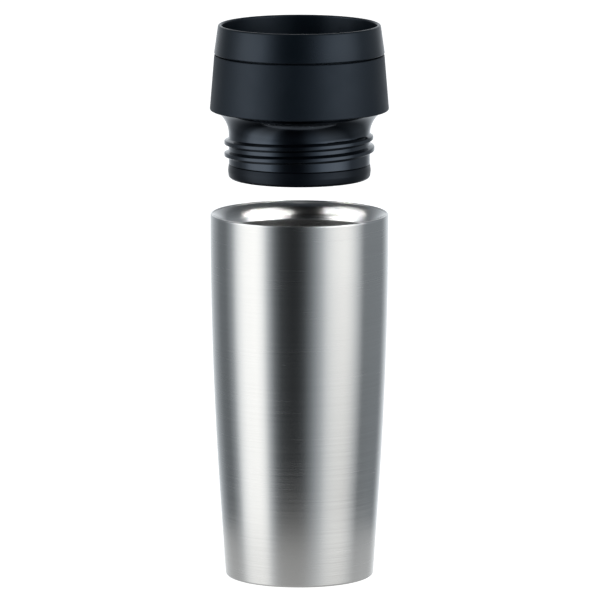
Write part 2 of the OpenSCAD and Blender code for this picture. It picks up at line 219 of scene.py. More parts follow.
class MugThreadSizes(bpy.types.PropertyGroup):
    """Sizes of the two screw threads"""
    pitch: length("Pitch", "Rise in one turn", 5.8)
    ridge_h: length("Ridge height", "Height of a ridge", 2.2)
    crest_w: length("Crest half width", "Half width of a ridge's flat crest", 0.7)
    root_w: length("Root half width", "Half width of a ridge where it meets the wall", 2.05)
    fade: angle("Fade", "Angle over which a ridge rises from its end", 35)
    lid_start: angle("Start", "Direction in which the lid's thread begins", 140)
    lid_turns: number("Lid turns", "Turns of thread on the lid", 1.65)
    mouth_turns: number("Mouth turns", "Turns of thread in the mouth", 1.75)
    gap: length("Bare wall", "Bare wall between the gasket and the lid's thread", 2)
    half_w: length("Half width", "Half width of a ridge at its root, for its place", 1.9)
    play: length("Play", "Free radial space between the threads", 0.4)


class MugValveSizes(bpy.types.PropertyGroup):
    """Sizes of the press button and its valve, as heights above the lid's lower edge"""
    button_r: length("Button radius", "Radius of the press button", high("button_cap", 0))
    button_top: length("Button top", "Height of the button's rim", high("button_cap") - LID)
    travel: length("Stroke", "How far the button goes down", 5)
    boss_r: length("Boss radius", "Radius of the button's boss", 7.2)
    boss_low: length("Boss end", "Height of the boss's lower end", 19.8)
    stem_r: length("Stem radius", "Radius of the valve stem", 3)
    stem_low: length("Stem end", "Height of the stem's lower end", low("valve_stem") - LID)
    stop_low: length("Stop", "Height of the stem's spring collar", 10.6)
    spring_low: length("Spring foot", "Height of the spring's lower end", low("return_spring") - LID)
    spring_top: length("Spring head", "Height of the spring's upper end", high("return_spring") - LID)
    wire: length("Wire", "Diameter of the spring's wire", 0.9)
    disc_r: length("Disc radius", "Radius of the valve disc", 27)
    disc_low: length("Disc", "Height of the disc's lower face", low("valve_disc") - LID)
    disc_t: length("Disc thickness", "Thickness of the disc", 2.4)
    seal_r: length("Seal radius", "Greatest radius of the valve seal", high("valve_seal", 0))
    nut_r: length("Nut radius", "Radius of the nut over its corners", high("stem_nut", 0))
    nut_h: length("Nut height", "Height of the nut", high("stem_nut") - low("stem_nut"))


class MugFinishes(bpy.types.PropertyGroup):
    """Colours of the materials"""
    steel: colour("Steel", "Brushed outer wall", "#CBCBC9")
    mouth: colour("Mouth steel", "Polished lip and mouth", "#CFCFCE")
    liner: colour("Liner steel", "Electropolished inner vessel", "#C4C3C0")
    satin: colour("Drinking ring", "Satin black polypropylene", "#10181F")
    matte: colour("Collar", "Matte black grip", "#0D161E")
    gloss: colour("Neck", "Glossy black neck", "#070B11")
    silicone: colour("Silicone", "Black silicone seals", "#0A0E14")
    acetal: colour("Acetal", "Natural white acetal", "#D9D8D0")
    glass: colour("Glass", "Sealing glass", "#5A5048")
    getter: colour("Getter", "Pressed getter powder", "#4A4A4C")


class MugStudio(bpy.types.PropertyGroup):
    """The camera, the floor and the light"""
    distance: length("Distance", "Distance from the camera to its target", 3500)
    target_x: length("Target across", "Sideways place of the camera's target", 0.29)
    target_z: length("Target height", "Height of the camera's target", 135.45)
    pitch: angle("Pitch", "How far the camera looks down", 9.27)
    lens: number("Lens", "Focal length for a 36 mm sensor, in millimetres", 433.6)
    floor: colour("Floor", "Pale floor", "#F4F4F3")
    floor_glow: number("Floor glow", "Own light of the floor", 0.85)
    card_glow: number("Card glow", "Light of the white card under the mug, seen in gloss only", 0.5)
    card_cover: number("Card cover", "Share of the studio that the white card hides", 0.5)
    box_light: number("Mouth light", "Brightness of the soft boxes that light the mouth", 1.8)
    card_r: length("Card radius", "Radius of the white card", 120)
    strength: number("Light", "Strength of the studio light", 1.0)


# ---------------------------------------------------------------- surfaces

def arc(centre_r, centre_z, radius, start, end, steps=8):
    """Points of an arc: centre + radius (cos t, sin t), t in even steps between two angles in degrees."""
    t = np.radians(np.linspace(start, end, steps + 1))
    return np.column_stack([centre_r + radius * np.cos(t), centre_z + radius * np.sin(t), np.zeros_like(t)])


def line(*corners):
    """Corner points given as radius, height and, where there is one, fillet radius."""
    return np.array([(*c, 0)[:3] for c in corners], float)


def outline(*parts, closed=True, steps=6, brace=0.12):
    """A smooth outline from parts that hold corner points [radius, height, fillet].

    A corner with fillet f and opening angle w becomes an arc of radius f. Its centre lies f / sin(w / 2) along
    the corner's bisector, and it touches each side at f / tan(w / 2) from the corner. One more point stands
    on each side a brace further on, so that flat sides stay flat where the normals are smoothed. A corner
    without a fillet stays a point.
    """
    corners = np.concatenate(parts)
    point, fillet = corners[:, :2], corners[:, 2].copy()
    if not closed:
        fillet[[0, -1]] = 0
    before, after = np.roll(point, 1, 0) - point, np.roll(point, -1, 0) - point
    u = before / np.maximum(np.linalg.norm(before, axis=1, keepdims=True), 1e-9)
    v = after / np.maximum(np.linalg.norm(after, axis=1, keepdims=True), 1e-9)
    half = np.arccos(np.clip((u * v).sum(1), -1, 1)) / 2
    half = np.where(fillet > 0, half, math.pi / 4)
    reach = (fillet / np.tan(half))[:, None]
    bisector = u + v
    bisector /= np.maximum(np.linalg.norm(bisector, axis=1, keepdims=True), 1e-9)
    centre = point + bisector * (fillet / np.sin(half))[:, None]
    first, last = point + u * reach - centre, point + v * reach - centre
    start = np.arctan2(first[:, 1], first[:, 0])
    sweep = np.arctan2(last[:, 1], last[:, 0]) - start
    sweep = (sweep + math.pi) % TURN - math.pi
    t = start[:, None] + sweep[:, None] * np.linspace(0, 1, steps + 1)
    round_part = centre[:, None] + fillet[:, None, None] * np.stack([np.cos(t), np.sin(t)], -1)
    extra = np.where(fillet > 0, brace, 0)[:, None]
    path = np.concatenate([
        (point + u * (reach + extra))[:, None], round_part, (point + v * (reach + extra))[:, None]], 1)
    path = path.reshape(-1, 2)
    gap = np.linalg.norm(path - np.roll(path, 1, 0), axis=1)
    if not closed:
        gap[0] = 1
    return path[gap > 1e-4]


def mesh_piece(name, points, faces):
    """A named object from points in millimetres and arrays of faces, smooth but for its sharp edges."""
    mesh = bpy.data.meshes.new(name)
    mesh.from_pydata((points * MM).tolist(), [], [face for array in faces for face in array.tolist()])
    mesh.shade_smooth()
    mesh.set_sharp_from_angle(angle=math.radians(SHARP))
    piece = bpy.data.objects.new(name, mesh)
    bpy.context.scene.collection.objects.link(piece)
    return piece


def turned(name, path, around=256, relief=None, lift=0):
    """An outline (r, z) spun about Z: x = r cos a, y = r sin a, with a in even steps round one turn.

    relief, if given, takes r, z and a as arrays and returns the new r. All is raised by lift at the end. An
    outline that starts and ends on the axis is closed there by fans, and any other one runs round in a ring.
    The signed area of the outline sets which way it runs, so that faces point outwards.
    """
    following = np.roll(path, -1, 0)
    if (path[:, 0] * following[:, 1] - following[:, 0] * path[:, 1]).sum() < 0:
        path = path[::-1]
    ring = path[:, 0] > 1e-6
    a = TURN * np.arange(around) / around
    r, z = path[:, :1] + 0 * a, path[:, 1:] + 0 * a
    if relief:
        r = relief(r, z, a[None] + 0 * r)
    grid = np.stack([r * np.cos(a), r * np.sin(a), z + lift], -1)
    used = ring[:, None] | (np.arange(around) == 0)
    number_of = np.cumsum(used.ravel()).reshape(used.shape) - 1
    number_of = np.where(ring[:, None], number_of, number_of[:, :1])
    beside = np.roll(number_of, -1, 1)
    above, above_beside = np.roll(number_of, -1, 0), np.roll(beside, -1, 0)
    next_ring = np.roll(ring, -1)
    both, up, down = ring & next_ring, ring & ~next_ring, ~ring & next_ring
    quads = np.stack([number_of[both], beside[both], above_beside[both], above[both]], -1).reshape(-1, 4)
    fans = [np.stack([number_of[up], beside[up], above[up]], -1).reshape(-1, 3),
            np.stack([number_of[down], above_beside[down], above[down]], -1).reshape(-1, 3)]
    return mesh_piece(name, grid[used], [quads, *fans])


def ridge(z, a, start_z, start_a, turns, height, thread):
    """Height of a helical ridge at height z and direction a.

    The path climbs one pitch a turn from start_z at start_a. With d the distance from the path along the axis,
    the height is flat within the crest's half width and falls to nothing at the root's half width along
    3 s^2 - 2 s^3. Both widths and the height shrink to nothing towards the ends, over the fade angle.
    """
    lap = np.arange(math.ceil(turns) + 1)[:, None, None]
    along = (a[None] - start_a) % TURN + TURN * lap
    rise = np.clip(np.minimum(along, turns * TURN - along) / thread.fade, 0, 1)
    width = 0.5 + 0.5 * rise
    d = np.abs(z[None] - start_z - thread.pitch * along / TURN)
    s = np.clip((d - thread.crest_w * width) / ((thread.root_w - thread.crest_w) * width), 0, 1)
    fall = 1 - s * s * (3 - 2 * s)
    return (height * rise * (2 - rise) * fall).max(0)


def coil(name, radius, wire, z0, z1, turns, around=40, sides=12):
    """A wire spring with closed ends: a tube carried along (radius cos t, radius sin t, h(t)).

    h climbs one wire a turn in the first and last turn and evenly between, smoothed over a quarter turn. The
    tube's section is a circle in the plane of the radius and the axis, and its end caps are fans.
    """
    t = np.linspace(0, TURN * turns, turns * around + 1)
    turn = t / TURN
    tight, total = wire * 1.02, z1 - z0 - wire
    climb = np.interp(turn, [0.85, 1.25, turns - 1.25, turns - 0.85], [0, 1, 1, 0])
    climb = np.concatenate([[0], np.cumsum((climb[1:] + climb[:-1]) / 2)])
    z = z0 + wire / 2 + tight * turn + (total - tight * turns) * climb / climb[-1]
    b = TURN * np.arange(sides) / sides
    r = radius + wire / 2 * np.cos(b)[None]
    height = z[:, None] + wire / 2 * np.sin(b)[None]
    grid = np.stack([r * np.cos(t)[:, None], r * np.sin(t)[:, None], height], -1)
    count = len(t)
    index = np.arange(count * sides).reshape(count, sides)
    beside = np.roll(index, -1, 1)
    quads = np.stack([index[:-1], index[1:], beside[1:], beside[:-1]], -1).reshape(-1, 4)
    ends = np.stack([radius * np.cos(t[[0, -1]]), radius * np.sin(t[[0, -1]]), z[[0, -1]]], -1)
    caps = [np.stack([index[0], beside[0], np.full(sides, count * sides)], -1),
            np.stack([beside[-1], index[-1], np.full(sides, count * sides + 1)], -1)]
    return mesh_piece(name, np.concatenate([grid.reshape(-1, 3), ends]), [quads, *caps])


def side_radius(v, z):
    """Outer radius of the vessel at height z.

    It is the rim's radius in the upright band. Below comes one circular arc, vertical at its upper end, and
    under flank_h a straight flank. The arc is span high and falls inwards by half of span times the flank's
    slope, so its radius is (span^2 + fall^2) / (2 fall), and it meets the flank with no kink to be seen.
    """
    top = v.height - RIM_BAND
    span = top - v.flank_h
    slope = (v.rim_r - v.foot_r) / (v.flank_h - v.foot_clear + span / 2)
    fall = slope * span / 2
    radius = (span ** 2 + fall ** 2) / (2 * fall)
    drop = radius - np.sqrt(radius ** 2 - (top - np.clip(z, v.flank_h, top)) ** 2)
    return np.where(z < v.flank_h, v.foot_r + slope * (z - v.foot_clear), v.rim_r - drop)


def wall(v, z, inwards=0):
    """Outline points of the vessel's side at the given heights, set inwards by a distance."""
    return np.column_stack([side_radius(v, z) - inwards, z, np.zeros_like(z)])


def upright(radius, heights):
    """Outline points at one radius and the given heights."""
    return np.column_stack([np.full_like(heights, radius), heights, 0 * heights])


def hollow_angle(rise, radius):
    """Direction in degrees from an arc's centre to its inner point that lies rise above the centre."""
    return 180 - math.degrees(math.asin(rise / radius))


def flare_edge(lid):
    """Radius at the top of the neck's flare, an arc of radius R that starts upright at the neck's radius r.

    At height h it is r + R less the square root of R^2 - h^2.
    """
    return lid.neck_r + lid.flare_r - math.sqrt(lid.flare_r ** 2 - lid.flare_h ** 2)


def seam(lid):
    """Radii of the collar's upper edge and of the drinking ring's spigot, which stands inside the collar."""
    edge = lid.collar_r - lid.collar_lean
    return edge, edge - lid.collar_t - 0.2


# ---------------------------------------------------------------- materials

def node(tree, kind, inputs=None, **settings):
    """Adds a node. settings are its own properties, and inputs gives sockets a value or a link."""
    made = tree.nodes.new(kind)
    for key, value in settings.items():
        setattr(made, key, value)
    for key, value in (inputs or {}).items():
        if isinstance(value, bpy.types.NodeSocket):
            tree.links.new(value, made.inputs[key])
        else:
            made.inputs[key].default_value = value
    return made


def blank(name):
    """A new material with an empty node tree, an output and the tree's Object coordinates."""
    material = bpy.data.materials.new(name)
    material.use_nodes = True
    tree = material.node_tree
    tree.nodes.clear()
    return material, tree, node(tree, "ShaderNodeTexCoord").outputs["Object"]


def shaded(material, tree, shader):
    """Links a shader to the material's output."""
    node(tree, "ShaderNodeOutputMaterial", {"Surface": shader.outputs[0]})
    return material


def spread(tree, value, lowest, highest, start=0.3, end=0.7):
    """A value between start and end carried to between lowest and highest."""
    return node(tree, "ShaderNodeMapRange", {
        "Value": value, "From Min": start, "From Max": end, "To Min": lowest, "To Max": highest}).outputs[0]


def tinted(tree, base, value, change):
    """A colour whose brightness follows a noise value by plus or minus change."""
    return node(tree, "ShaderNodeHueSaturation", {
        "Value": spread(tree, value, 1 - change, 1 + change), "Color": base}).outputs[0]


def turned_steel(name, base, rough, streak, stroke, groove, change, brushing=0.0):
    """Steel with tool lines that run round the axis.

    The lines are noise that is long round the circumference (stroke, in mm) and narrow across it (groove, in
    mm). The second coordinate is height plus radius, so the lines follow walls and flat ends alike. They change
    the roughness and brightness a little and stand streak mm high. brushing stretches the highlights across
    the lines.
    """
    material, tree, place_at = blank(name)
    axes = node(tree, "ShaderNodeSeparateXYZ", {"Vector": place_at}).outputs
    flat = node(tree, "ShaderNodeCombineXYZ", {"X": axes["X"], "Y": axes["Y"]}).outputs[0]
    radius = node(tree, "ShaderNodeVectorMath", {0: flat}, operation="LENGTH").outputs["Value"]
    across = node(tree, "ShaderNodeMath", {0: axes["Z"], 1: radius}, operation="ADD").outputs[0]
    lines = []
    for width, reach in ((groove, stroke), (groove * 2.2, stroke * 1.6)):
        where = node(tree, "ShaderNodeCombineXYZ", {
            "X": axes["X"], "Y": axes["Y"],
            "Z": node(tree, "ShaderNodeMath", {0: across, 1: reach / width}, operation="MULTIPLY").outputs[0]})
        lines.append(node(tree, "ShaderNodeTexNoise", {
            "Vector": where.outputs[0], "Scale": 1 / (reach * MM), "Detail": 2.0}).outputs[0])
    both = node(tree, "ShaderNodeMath", {0: lines[0], 1: lines[1]}, operation="ADD").outputs[0]
    both = node(tree, "ShaderNodeMath", {0: both, 1: 0.5}, operation="MULTIPLY").outputs[0]
    handled = node(tree, "ShaderNodeTexNoise", {"Vector": place_at, "Scale": 38.0, "Detail": 3.0}).outputs[0]
    rough_at = node(tree, "ShaderNodeMath", {
        0: spread(tree, both, *rough), 1: spread(tree, handled, 0.96, 1.06)}, operation="MULTIPLY").outputs[0]
    inputs = {
        "Base Color": tinted(tree, base, both, change),
        "Metallic": 1.0,
        "Roughness": rough_at,
        "Normal": node(tree, "ShaderNodeBump", {
            "Height": both, "Strength": 0.5, "Distance": streak * MM}).outputs[0],
    }
    if brushing:
        back = node(tree, "ShaderNodeMath", {0: axes["Y"], 1: -1.0}, operation="MULTIPLY").outputs[0]
        round_axis = node(tree, "ShaderNodeCombineXYZ", {"X": back, "Y": axes["X"]}).outputs[0]
        inputs["Tangent"] = node(tree, "ShaderNodeVectorTransform", {"Vector": round_axis},
                                 vector_type="VECTOR", convert_from="OBJECT", convert_to="WORLD").outputs[0]
        inputs["Anisotropic"] = brushing
        inputs["Anisotropic Rotation"] = 0.25
    return shaded(material, tree, node(tree, "ShaderNodeBsdfPrincipled", inputs))


# Painted highlight colour: a blue tint on the highlights of the black plastics that stands in for the blue cast
# of the studio light, as the resins themselves reflect neutrally
PAINTED_BLUE_HIGHLIGHT_TINT = linear("#D6E9FF")


def moulded(name, base, rough, grain, height, cloud=12.0, change=0.08, **sockets):
    """A plastic, rubber or other material with no direction in its surface.

    Fine noise of grain mm stands height mm high, as the skin that a mould leaves. A slow noise of cloud mm
    changes the roughness and brightness, as flow and handling do.
    """
    material, tree, place_at = blank(name)
    fine = node(tree, "ShaderNodeTexNoise", {
        "Vector": place_at, "Scale": 1 / (grain * MM), "Detail": 1.5}).outputs[0]
    slow = node(tree, "ShaderNodeTexNoise", {
        "Vector": place_at, "Scale": 1 / (cloud * MM), "Detail": 3.0}).outputs[0]
    shader = node(tree, "ShaderNodeBsdfPrincipled", {
        "Base Color": tinted(tree, base, slow, change),
        "Roughness": spread(tree, slow, *rough),
        "Normal": node(tree, "ShaderNodeBump", {
            "Height": fine, "Strength": 0.6, "Distance": height * MM}).outputs[0],
        **{key.replace("_", " "): value for key, value in sockets.items()}})
    return shaded(material, tree, shader)


def brushed_stainless(f):
    """Type 304 stainless steel, brushed round with a 240 grit belt and clear of any coat.

    Real scratches are about 0.05 mm apart, too fine to show, so they are drawn 0.3 mm apart. They blur
    reflections mostly up and down, which draws every light as a soft upright band.
    """
    return turned_steel("brushed_stainless_steel", f.steel, (0.2, 0.28), 0.0012, 40, 0.3, 0.05, 0.82)


def polished_stainless(f):
    """Type 304 stainless steel, spun and polished: clear but slightly soft reflections with faint rings."""
    return turned_steel("polished_stainless_steel", f.mouth, (0.15, 0.22), 0.002, 40, 0.6, 0.03, 0.3)


def electropolished_stainless(f):
    """Type 304 stainless steel, drawn and electropolished: a soft grey gloss with faint drawing rings."""
    return turned_steel("electropolished_stainless_steel", f.liner, (0.22, 0.3), 0.004, 30, 1.1, 0.05, 0.3)


def spun_stainless(f):
    """Type 304 stainless steel, faced on a lathe: fine rings that draw a bow-tie highlight."""
    return turned_steel("faced_stainless_steel", f.steel, (0.26, 0.36), 0.005, 18, 0.4, 0.06, 0.6)


def machined_stainless(f):
    """Free-cutting stainless steel, turned: bright with close tool rings."""
    return turned_steel("machined_stainless_steel", f.steel, (0.18, 0.28), 0.004, 9, 0.25, 0.06, 0.4)


def spring_wire(f):
    """Drawn spring wire: bright, finely uneven, with a little grey variation along it."""
    return moulded("drawn_spring_wire", f.steel, (0.2, 0.32), 0.3, 0.002, 3.0, 0.08, Metallic=1.0)


def satin_polypropylene(f):
    """Moulded polypropylene with a satin skin: near black, with soft broad highlights and a fine grain."""
    # Its highlights get the painted blue tint of the studio light
    return moulded("satin_polypropylene", f.satin, (0.26, 0.34), 0.45, 0.006, 16.0, 0.08, Specular_Tint=PAINTED_BLUE_HIGHLIGHT_TINT)


def matte_grip(f):
    """Polypropylene overmoulded with a thin thermoplastic elastomer: matte, dark and slightly velvety."""
    # Its highlights get the painted blue tint of the studio light
    return moulded("matte_elastomer_grip", f.matte, (0.42, 0.5), 0.6, 0.015, 14.0, 0.08,
                   Specular_Tint=PAINTED_BLUE_HIGHLIGHT_TINT)


def gloss_polypropylene(f):
    """Moulded polypropylene from a polished mould: black with sharp, thin highlights on the thread."""
    # Its highlights get the painted blue tint of the studio light
    return moulded("gloss_polypropylene", f.gloss, (0.09, 0.15), 2.4, 0.004, 18.0, 0.06, Specular_Tint=PAINTED_BLUE_HIGHLIGHT_TINT,
                   Specular_IOR_Level=0.8)


def black_silicone(f):
    """Food-grade silicone rubber: black, with a soft gloss and a trace of dust-like bloom."""
    # Its highlights get the painted blue tint of the studio light
    return moulded("black_silicone", f.silicone, (0.26, 0.36), 0.8, 0.008, 9.0, 0.1, Specular_Tint=PAINTED_BLUE_HIGHLIGHT_TINT,
                   Specular_IOR_Level=0.3)


def black_acetal(f):
    """Moulded acetal: black, waxy and slightly glossy."""
    return moulded("black_acetal", f.satin, (0.32, 0.42), 0.5, 0.006, 8.0, 0.08)


def white_acetal(f):
    """Moulded natural acetal: milky white and waxy, with a little light inside it."""
    return moulded("natural_acetal", f.acetal, (0.3, 0.4), 0.5, 0.005, 6.0, 0.03,
                   Subsurface_Weight=0.1, Subsurface_Scale=0.002)


def sealing_glass(f):
    """Opaque brown solder glass, melted into the hole: a smooth bead with flow marks."""
    return moulded("solder_glass", f.glass, (0.08, 0.16), 1.2, 0.03, 2.5, 0.2)


def getter_powder(f):
    """Pressed zirconium alloy powder: dull grey and grainy."""
    return moulded("getter_powder", f.getter, (0.75, 0.9), 0.25, 0.04, 1.5, 0.2, Metallic=0.4)


FINISH_OF_SLOT = {
    "brushed_shell": brushed_stainless,
    "mouth_steel": polished_stainless,
    "liner_steel": electropolished_stainless,
    "base_steel": spun_stainless,
    "clip_steel": spring_wire,
    "getter_pill": getter_powder,
    "seal_glass": sealing_glass,
    "foot_silicone": black_silicone,
    "lid_satin": satin_polypropylene,
    "collar_matte": matte_grip,
    "neck_gloss": gloss_polypropylene,
    "gasket_silicone": black_silicone,
    "washer_silicone": black_silicone,
    "guide_plastic": black_acetal,
    "spring_steel": spring_wire,
    "button_plastic": satin_polypropylene,
    "latch_plastic": black_acetal,
    "rotor_plastic": white_acetal,
    "stem_steel": machined_stainless,
    "disc_plastic": black_acetal,
    "valve_silicone": black_silicone,
    "nut_steel": machined_stainless,
}


def finish(slot):
    """The material of a slot. Slots with the same finish share one material."""
    maker = FINISH_OF_SLOT[slot]
    made = next((m for m in bpy.data.materials if m.get("maker") == maker.__name__), None)
    if made is None:
        made = maker(bpy.context.scene.mug_finishes)
        made["maker"] = maker.__name__
    return made


def place(piece, body, slot, *nodes):
    """Gives a new piece its finish, ties it to its body and lets it stand for CAD nodes."""
    piece.data.materials.append(finish(slot))
    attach(piece, body)
    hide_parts(*nodes)
    return piece


def repaint(node_name, slot):
    """Gives a CAD node that stays in view its finish."""
    piece = frame["nodes"][node_name]
    if not piece.data.materials:
        piece.data.materials.append(None)
    for holder in piece.material_slots:
        holder.material = finish(slot)


# ---------------------------------------------------------------- pieces

def outer_shell(v):
    """The outer wall: foot curl, straight flank, long curve up to the rim, one sheet thick."""
    curl = 1.2
    base = v.foot_clear + curl
    edge_r = float(side_radius(v, base)) - curl
    heights = np.concatenate([
        np.linspace(base, v.flank_h, 8), np.linspace(v.flank_h, v.height - RIM_BAND, 49)[1:],
        [v.height - v.lip_t]])
    path = outline(
        arc(edge_r, base, curl, -90, -10, 8), wall(v, heights), wall(v, heights[::-1], v.sheet),
        arc(edge_r, base, curl - v.sheet, -10, -90, 8),
        line((edge_r - 3, v.foot_clear + v.sheet), (edge_r - 3, v.foot_clear)))
    return turned("OuterShell", path, 384)


def mouth_ring(v, lid, thread):
    """The rolled lip, trumpet mouth, threaded bore and seat. The thread stands inwards from the bore."""
    bore = lid.neck_r + thread.ridge_h + thread.play
    seat, ledge_r = lid.gasket_r + 0.3, lid.neck_r - SEAT_INSET
    closed = v.height + CLOSED_GAP
    seat_low = closed - lid.neck_l + lid.gasket_h - 2
    ledge = closed - lid.neck_l - 1.3
    half = v.lip_t / 2
    lip_in, fall = v.rim_r - v.lip_t, v.funnel_h - half
    funnel_r = ((lip_in - bore) ** 2 + fall ** 2) / (2 * (lip_in - bore))
    centre_r, centre_z = bore + funnel_r, v.height - v.funnel_h
    upper = hollow_angle(fall, funnel_r)
    cone = bore - seat
    start_z = closed - lid.neck_l + lid.gasket_h + thread.half_w + 1
    path_z = LID - lid.neck_l + lid.gasket_h + thread.half_w + thread.gap + thread.pitch / 2
    start_a = thread.lid_start + TURN * (start_z - path_z) / thread.pitch
    rows = np.arange(seat_low + cone + 0.3, centre_z - 0.1, THREAD_STEP)
    path = outline(
        line((v.rim_r, v.height - v.lip_t)),
        arc(v.rim_r - half, v.height - half, half, 0, 180, 12),
        arc(centre_r, centre_z, funnel_r, upper, 180, 20)[1:],
        upright(bore, rows[::-1]),
        line((bore, seat_low + cone), (seat, seat_low, 0.5), (seat, ledge, 0.5), (ledge_r, ledge, 0.2),
             (ledge_r, v.mouth_end), (ledge_r + v.sheet, v.mouth_end),
             (ledge_r + v.sheet, ledge - v.sheet), (seat + v.sheet, ledge - v.sheet),
             (seat + v.sheet, seat_low - v.sheet), (bore + v.sheet, seat_low + cone - v.sheet)),
        arc(centre_r, centre_z, funnel_r - v.sheet, 180, upper, 12),
        line((v.rim_r - v.sheet, v.height - v.lip_t)))

    def inward_ridge(r, z, a):
        """The bore's radius less the ridge's height, between the seat and the mouth's curve."""
        crest = bore - ridge(z, a, start_z, start_a, thread.mouth_turns, thread.ridge_h - 0.3, thread)
        inside = (r < bore + 0.2) & (z > seat_low + cone - 0.1)
        return np.where(inside, np.minimum(r, crest), r)

    return turned("MouthRing", path, 360, inward_ridge)


def inner_liner(v, lid):
    """The inner vessel: flat floor, rounded corner, side one gap inside the outer wall, drawn-in shoulder."""
    ledge_r = lid.neck_r - SEAT_INSET
    gap, t = v.sheet + v.vacuum_gap, v.sheet
    corner_z = v.floor_h + v.liner_corner
    shoulder = v.mouth_end - 9
    heights = np.linspace(corner_z, shoulder, 36)
    corner_r = float(side_radius(v, corner_z)) - gap - v.liner_corner
    shoulder_r = float(side_radius(v, shoulder)) - gap
    bend = 4.5
    path = outline(
        line((0, v.floor_h)),
        arc(corner_r, corner_z, v.liner_corner, -90, 0, 16), wall(v, heights, gap)[1:],
        arc(shoulder_r - bend, shoulder, bend, 6, 48, 10),
        line((ledge_r + t, v.mouth_end - 1.5, 0.8), (ledge_r + t, v.mouth_end),
             (ledge_r, v.mouth_end), (ledge_r, v.mouth_end - 1.8, 1.2)),
        arc(shoulder_r - bend, shoulder, bend - t, 48, 6, 10), wall(v, heights[::-1], gap + t),
        arc(corner_r, corner_z, v.liner_corner - t, 0, -90, 16)[1:],
        line((0, v.floor_h + t)), closed=False)
    return turned("InnerLiner", path, 320)


def drink_ring(lid):
    """The drinking ring: rounded lip, bowl, and a chimney round the button, in one moulding."""
    top_r, spigot = seam(lid)
    lip_r, round_r = top_r - lid.ring_lean, lid.lip_t / 2
    wall_r = lip_r - lid.lip_t - 1.4
    c, z = lid.chimney_r, lid.bowl_h
    path = outline(
        line((spigot, lid.ring_low)), arc(top_r - 0.8, lid.ring_low + 0.8, 0.8, -90, -6, 8),
        arc(lip_r - round_r, lid.top - round_r, round_r, 6, 185, 16),
        arc(wall_r - 4, z + 4, 4, -5, -80, 12), arc(c + 1.2, z - 1.8, 1.2, 80, 180, 10),
        line((c, -6), (c + lid.chimney_t, -6), (c + lid.chimney_t, z - 4, 1), (wall_r - 2, z - 3),
             (spigot - 0.8, z - 1.6), (spigot, z)))
    return turned("DrinkingRing", path, 384, lift=LID)


def grip_collar(lid):
    """The matte grip collar, with softened upper and lower edges."""
    top_r, spigot = seam(lid)
    lean = lid.collar_lean / lid.collar_h
    inner, flange, z = flare_edge(lid) + 0.1, 2.3, lid.bowl_h
    path = outline(
        line((inner, 0.3), (inner + 0.3, 0)), arc(lid.collar_r - 0.8, 0.8, 0.8, -90, -4, 8),
        arc(top_r - 0.6, lid.collar_h - 0.6, 0.6, 4, 90, 8),
        line((spigot + 0.15, lid.collar_h), (spigot + 0.15, z - 1),
             (lid.collar_r - lid.collar_t - lean * 12 - 0.4, z - 4, 1),
             (lid.collar_r - lid.collar_t - lean * 5, flange + 3, 1),
             (inner - 1.6, flange + 1.4), (inner - 1.6, flange), (inner, flange)))
    return turned("GripCollar", path, 384, lift=LID)


def threaded_neck(lid, thread):
    """The screw neck: gasket seat, threaded wall, trumpet flare and the ledge that the valve closes on."""
    r, t = lid.neck_r, lid.neck_r - lid.neck_t
    hole, deck, edge = 26, -7, flare_edge(lid)
    centre, back = r + lid.flare_r, lid.flare_r + 2
    upper = hollow_angle(lid.flare_h, lid.flare_r)
    back_upper, back_lower = hollow_angle(lid.flare_h + 0.6, back), hollow_angle(lid.flare_h + deck, back)
    groove, gasket_top = r - 1.7, -lid.neck_l + lid.gasket_h
    start_z = gasket_top + thread.half_w + thread.gap
    rows = np.arange(gasket_top + 0.4, -lid.flare_h, THREAD_STEP)
    path = outline(
        line((t, -lid.neck_l, 0.3), (groove, -lid.neck_l), (groove, gasket_top), (r, gasket_top, 0.25)),
        upright(r, rows),
        arc(centre, -lid.flare_h, lid.flare_r, 180, upper, 36),
        line((edge, 2.2), (edge - 2.4, 2.2)),
        arc(centre, -lid.flare_h, back, back_upper, back_lower, 10),
        line((hole, deck, 0.4), (hole, VALVE_LEDGE, 0.4), (t, VALVE_LEDGE, 0.6)))

    def outward_ridge(radius, z, a):
        """The greater of the wall's radius and the ridge's, on the outside above the gasket."""
        crest = r + ridge(z, a, start_z, thread.lid_start, thread.lid_turns, thread.ridge_h, thread)
        outside = (radius > r - 0.1) & (z > gasket_top + 0.2) & (z < -4)
        return np.where(outside, np.maximum(radius, crest), radius)

    return turned("ThreadedNeck", path, 400, outward_ridge, lift=LID)


def neck_gasket(lid):
    """The silicone boot: a rounded toe, a full belly and a thin upper lip against the neck."""
    groove, low_z = lid.neck_r - 1.58, -lid.neck_l - 1
    top = -lid.neck_l + lid.gasket_h - 0.12
    belly = low_z + 0.55 * (top - low_z)
    inner = lid.neck_r - lid.neck_t + 0.4
    path = outline(
        line((inner, low_z, 0.3), (lid.gasket_r - 2.2, low_z)),
        arc(lid.gasket_r - 2.2, low_z + 2, 2, -80, -15, 10),
        line((lid.gasket_r, belly, 3), (lid.gasket_r - 0.12, belly + 1.2, 1.5), (lid.neck_r, top - 0.3, 0.15),
             (lid.neck_r - 0.4, top, 0.1), (groove, top), (groove, -lid.neck_l - 0.12),
             (inner, -lid.neck_l - 0.12)))
    return turned("NeckGasket", path, 320, lift=LID)


def base_cover():
    """The cover under the foot: a thin disc with a rolled edge and one shallow pressed step."""
    r, z0, z1 = high("base_cover", 0), low("base_cover"), high("base_cover")
    path = outline(
        line((0, z0 + 0.12), (19.5, z0 + 0.12, 0.4), (20.2, z0, 0.4), (r, z0, 0.18), (r, z1, 0.18),
             (0, z1)), closed=False)
    return turned("BaseCover", path, 256)


